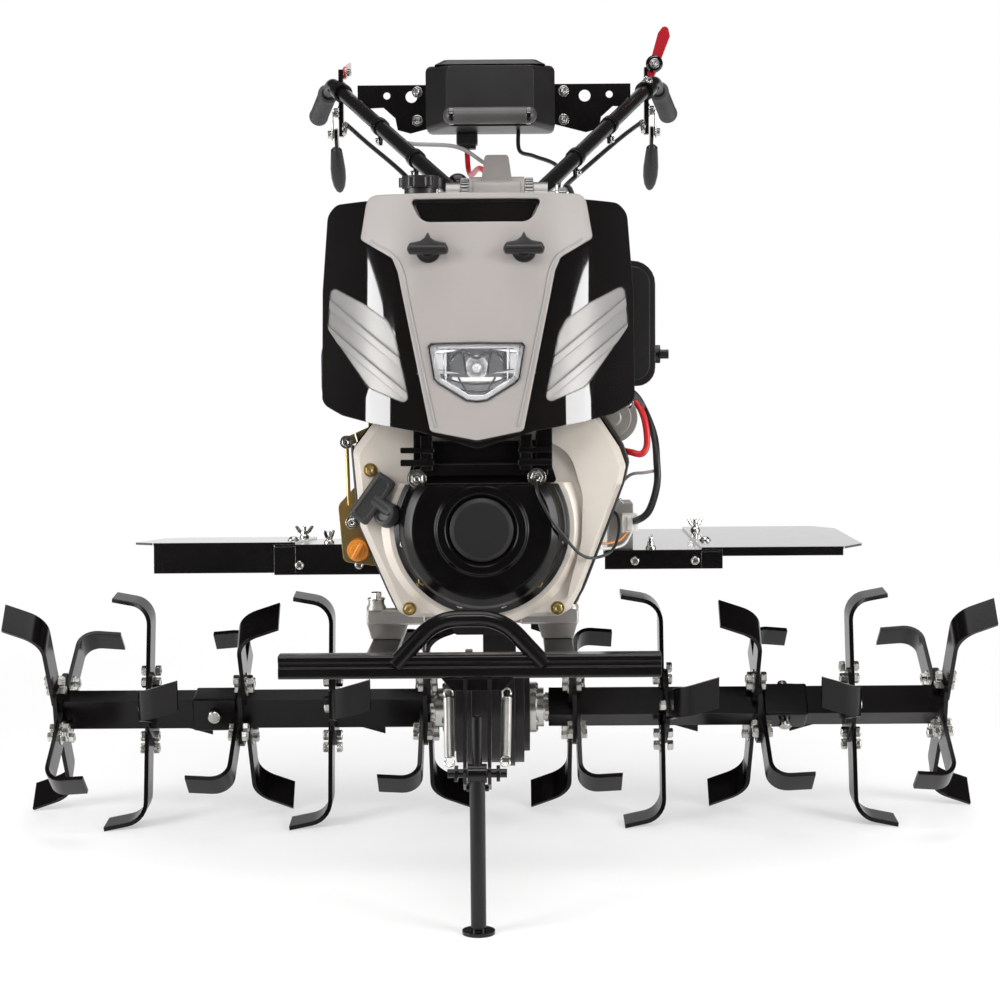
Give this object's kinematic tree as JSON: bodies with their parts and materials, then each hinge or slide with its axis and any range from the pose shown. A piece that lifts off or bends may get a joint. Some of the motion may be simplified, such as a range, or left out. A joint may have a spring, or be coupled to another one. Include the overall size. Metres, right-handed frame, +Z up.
{
  "type": "power tiller",
  "caption": "Walk-behind power tiller: cowled diesel engine and gearbox over tined rotors, with fenders, bumper, folding front stand and height-adjustable handlebar.",
  "frame": {"origin": "on the floor, midway along the length from the stand's foot to the grips and midway between the rotors' outer tips", "axes": "+X is the right of the front view along the rotor axle, +Y runs from the front bumper back to the grips, +Z up"},
  "size_m": [1.3726, 1.544, 1.2296],
  "materials": {
    "black_paint": "gloss black paint",
    "bright_steel": "zinc plated",
    "cable_black": "sheathed",
    "cable_red": "sheathed",
    "case_iron": "dark painted casting",
    "dark_plastic": "moulded charcoal",
    "engine_alloy": "cast, sand blasted",
    "gloss_black": "gloss black",
    "grip_rubber": "moulded grip",
    "lamp_chrome": "bright reflector",
    "lamp_glass": "clear lens",
    "lever_red": "red paint",
    "panel_grey": "satin warm grey",
    "recoil_black": "gloss black",
    "roll_grey": "grey moulded",
    "rotor_paint": "gloss black paint over steel",
    "shroud_cream": "light warm grey paint",
    "valve_orange": "orange moulded",
    "vent_silver": "pale silver",
    "zinc_gold": "yellow zinc"
  },
  "bodies": {
    "chassis": {"bearing_caps": "bright_steel", "final_drive_case": "case_iron", "gear_case": "case_iron", "clutch_housing": "case_iron", "hitch": "black_paint", "engine_block": "engine_alloy", "cylinder_head": "engine_alloy", "fan_shroud": "shroud_cream", "shroud_seal": "black_paint", "recoil_starter": "recoil_black", "recoil_disc": "dark_plastic", "recoil_handle": "dark_plastic", "starter_motor": "bright_steel", "fuel_tank": "dark_plastic", "fuel_cap": "dark_plastic", "air_cleaner": "dark_plastic", "air_cleaner_knob": "dark_plastic", "muffler": "black_paint", "cowl_panel": "panel_grey", "cowl_sides": "gloss_black", "cowl_vents": "vent_silver", "cowl_knobs": "dark_plastic", "cowl_stays": "black_paint", "cowl_intake": "dark_plastic", "headlamp_bowl": "lamp_chrome", "headlamp_lens": "lamp_glass", "engine_feet": "engine_alloy", "oil_sump": "case_iron", "engine_rails": "black_paint", "front_bumper": "black_paint", "bumper_hoop": "black_paint", "stand_bracket": "black_paint", "inner_fenders": "black_paint", "outer_fenders": "black_paint", "regulator": "engine_alloy", "speed_control": "zinc_gold", "fuel_valve": "valve_orange", "handle_column": "engine_alloy", "gear_lever": "black_paint", "stand_springs": "bright_steel", "control_cables": "cable_black", "battery_cable": "cable_red"},
    "left_rotor": {"rotor_left": "rotor_paint", "axle_left": "bright_steel"},
    "right_rotor": {"rotor_right": "rotor_paint", "axle_right": "bright_steel"},
    "stand": {"stand_leg": "black_paint"},
    "handlebar": {"handlebar_tubes": "black_paint", "handlebar_clamps": "bright_steel", "handlebar_plate": "black_paint", "battery_box": "dark_plastic", "battery_roll": "roll_grey", "hand_grips": "grip_rubber", "lever_brackets": "black_paint", "hand_levers": "black_paint", "clutch_levers": "lever_red"}
  },
  "joints": [
    {"name": "left_rotor_spin", "type": "hinge", "parent": "chassis", "child": "left_rotor", "pos_m": [-0.365, -0.18591, 0.16083], "axis": [1, 0, 0], "continuous": true},
    {"name": "right_rotor_spin", "type": "hinge", "parent": "chassis", "child": "right_rotor", "pos_m": [0.365, -0.18591, 0.16083], "axis": [1, 0, 0], "continuous": true},
    {"name": "stand_fold", "type": "hinge", "parent": "chassis", "child": "stand", "pos_m": [-0.023, -0.75991, 0.188], "axis": [-1, 0, 0], "range_deg": [0, 100], "deforming": ["stand_springs"]},
    {"name": "handlebar_tilt", "type": "hinge", "parent": "chassis", "child": "handlebar", "pos_m": [0, -0.06791, 0.8899], "axis": [1, 0, 0], "range_deg": [-14, 10], "deforming": ["control_cables", "battery_cable"]}
  ]
}
